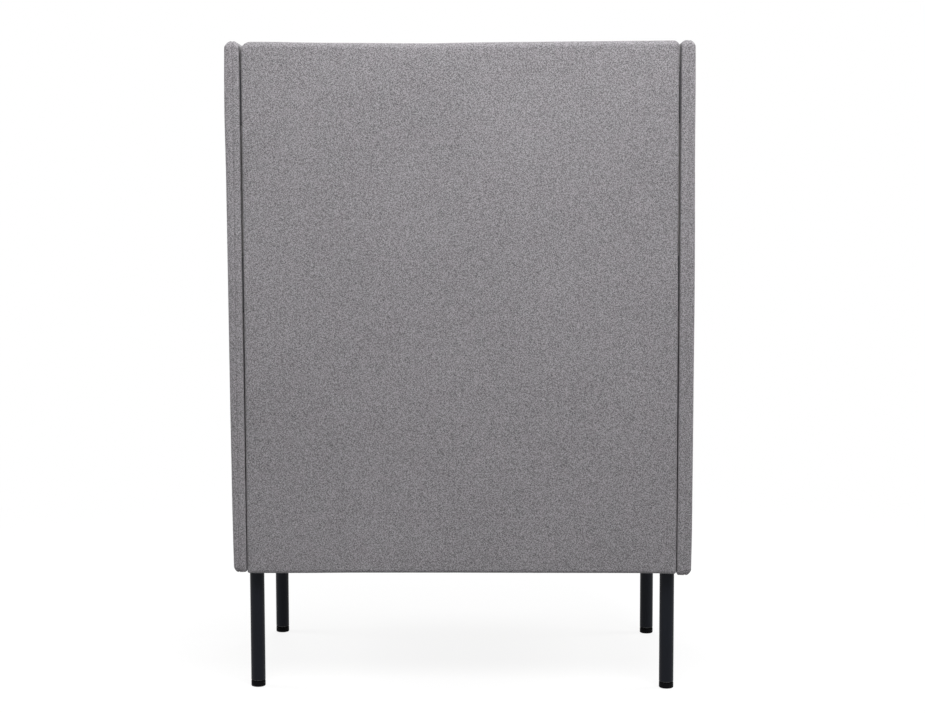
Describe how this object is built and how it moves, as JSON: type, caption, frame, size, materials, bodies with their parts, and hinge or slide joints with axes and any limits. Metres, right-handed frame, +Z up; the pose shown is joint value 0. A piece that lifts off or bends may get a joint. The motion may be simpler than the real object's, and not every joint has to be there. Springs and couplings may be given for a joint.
{
  "type": "study pod",
  "caption": "Free-standing study pod: desk between felt-covered back and side panels, on round steel tube legs with levelling feet.",
  "frame": {"origin": "on the floor, below the centre of the pod's outline seen from above", "axes": "+Z up; +Y towards the back panel, so the open front where the user sits faces -Y; +X to the user's right. The picture looks along -Y."},
  "size_m": [0.95, 0.65, 1.335],
  "materials": {
    "panel_board": "matte",
    "panel_foam": "matte",
    "grey_felt": "matte",
    "connector_steel": "matte",
    "zinc_steel": "satin",
    "black_bolts": "satin",
    "insert_brass": "satin",
    "slate_powder_coat": "matte",
    "black_nylon": "matte",
    "oak_laminate": "satin",
    "oak_edge_band": "satin",
    "grommet_plastic": "matte"
  },
  "bodies": {
    "pod": {"back_panel_core": "panel_board", "back_panel_foam": "panel_foam", "back_panel_cover": "grey_felt", "left_panel_core": "panel_board", "left_panel_foam": "panel_foam", "left_panel_cover": "grey_felt", "right_panel_core": "panel_board", "right_panel_foam": "panel_foam", "right_panel_cover": "grey_felt", "hook_plates": "connector_steel", "keeper_plates": "connector_steel", "connector_screws": "zinc_steel", "panel_bolts": "black_bolts", "panel_insert_nuts": "insert_brass", "leg_brackets": "slate_powder_coat", "rear_left_leg": "slate_powder_coat", "rear_right_leg": "slate_powder_coat", "front_left_leg": "slate_powder_coat", "front_right_leg": "slate_powder_coat", "leg_inserts": "black_nylon", "left_side_rail": "slate_powder_coat", "right_side_rail": "slate_powder_coat", "front_cross_rail": "slate_powder_coat", "rear_cross_rail": "slate_powder_coat", "rail_end_plates": "slate_powder_coat", "rail_bolts": "black_bolts", "rail_nuts": "zinc_steel", "worktop_board": "oak_laminate", "worktop_edge_band": "oak_edge_band", "worktop_screws": "zinc_steel", "grommet_sleeve": "grommet_plastic"},
    "rear_left_foot": {"rear_left_foot_base": "black_nylon"},
    "rear_left_stud": {"rear_left_foot_stud": "zinc_steel"},
    "rear_right_foot": {"rear_right_foot_base": "black_nylon"},
    "rear_right_stud": {"rear_right_foot_stud": "zinc_steel"},
    "front_left_foot": {"front_left_foot_base": "black_nylon"},
    "front_left_stud": {"front_left_foot_stud": "zinc_steel"},
    "front_right_foot": {"front_right_foot_base": "black_nylon"},
    "front_right_stud": {"front_right_foot_stud": "zinc_steel"},
    "grommet_cap": {"grommet_cap": "grommet_plastic"}
  },
  "joints": [
    {"name": "rear_left_foot_height", "type": "slide", "parent": "pod", "child": "rear_left_foot", "axis": [0, 0, -1], "range_m": [0, 0.01]},
    {"name": "rear_left_stud_turn", "type": "hinge", "parent": "rear_left_foot", "child": "rear_left_stud", "pos_m": [-0.427, 0.277, 0.02], "axis": [0, 0, -1], "range_deg": [0, 2880]},
    {"name": "rear_right_foot_height", "type": "slide", "parent": "pod", "child": "rear_right_foot", "axis": [0, 0, -1], "range_m": [0, 0.01]},
    {"name": "rear_right_stud_turn", "type": "hinge", "parent": "rear_right_foot", "child": "rear_right_stud", "pos_m": [0.427, 0.277, 0.02], "axis": [0, 0, -1], "range_deg": [0, 2880]},
    {"name": "front_left_foot_height", "type": "slide", "parent": "pod", "child": "front_left_foot", "axis": [0, 0, -1], "range_m": [0, 0.01]},
    {"name": "front_left_stud_turn", "type": "hinge", "parent": "front_left_foot", "child": "front_left_stud", "pos_m": [-0.427, -0.211, 0.02], "axis": [0, 0, -1], "range_deg": [0, 2880]},
    {"name": "front_right_foot_height", "type": "slide", "parent": "pod", "child": "front_right_foot", "axis": [0, 0, -1], "range_m": [0, 0.01]},
    {"name": "front_right_stud_turn", "type": "hinge", "parent": "front_right_foot", "child": "front_right_stud", "pos_m": [0.427, -0.211, 0.02], "axis": [0, 0, -1], "range_deg": [0, 2880]},
    {"name": "grommet_cap_lift", "type": "slide", "parent": "pod", "child": "grommet_cap", "axis": [0, 0, 1], "range_m": [0, 0.03]}
  ],
  "couplings": [
    {"joint": "rear_left_stud_turn", "follows": "rear_left_foot_height", "rad_per_m": 5026.5},
    {"joint": "rear_right_stud_turn", "follows": "rear_right_foot_height", "rad_per_m": 5026.5},
    {"joint": "front_left_stud_turn", "follows": "front_left_foot_height", "rad_per_m": 5026.5},
    {"joint": "front_right_stud_turn", "follows": "front_right_foot_height", "rad_per_m": 5026.5}
  ]
}
